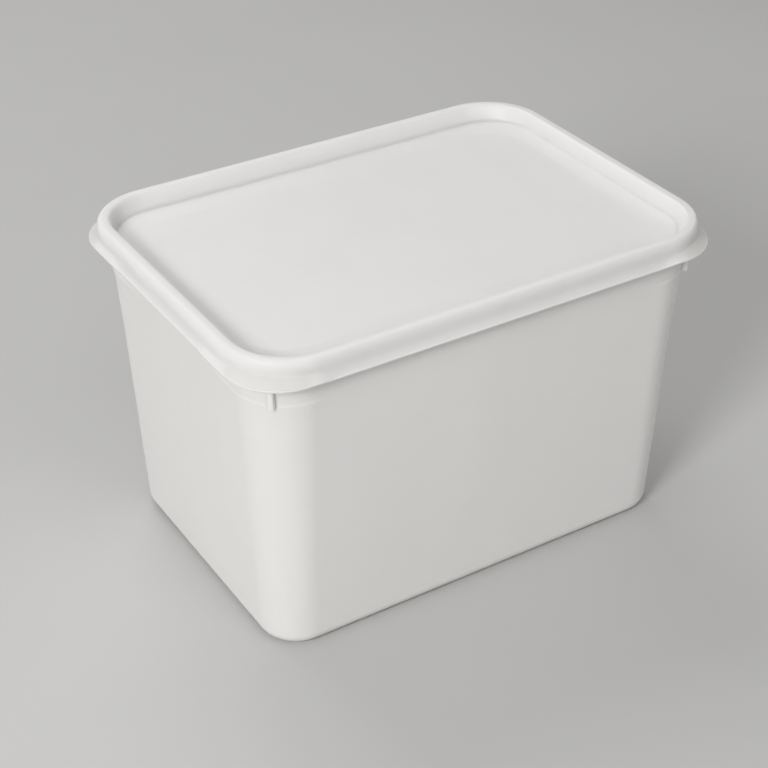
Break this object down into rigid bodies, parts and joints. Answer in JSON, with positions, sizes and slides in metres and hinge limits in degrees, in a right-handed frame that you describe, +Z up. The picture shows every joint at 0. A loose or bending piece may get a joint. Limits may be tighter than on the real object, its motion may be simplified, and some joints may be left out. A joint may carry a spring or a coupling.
{
  "type": "ice cream tub",
  "caption": "Rectangular white plastic ice cream tub with rounded corners and a shut press-on lid with a recessed top and flared corner tabs.",
  "frame": {"origin": "centre of the base, on the surface that the tub stands on", "axes": "+Z up through the lid, X along the long sides, Y along the short sides; the picture looks at the corner between the -X and -Y sides"},
  "size_m": [0.228, 0.1658, 0.1487],
  "materials": {
    "tub_plastic": "satin white polypropylene, slightly translucent",
    "lid_plastic": "satin white polypropylene, slightly translucent"
  },
  "bodies": {
    "root": {"tub": "tub_plastic", "lid": "lid_plastic"}
  },
  "joints": []
}
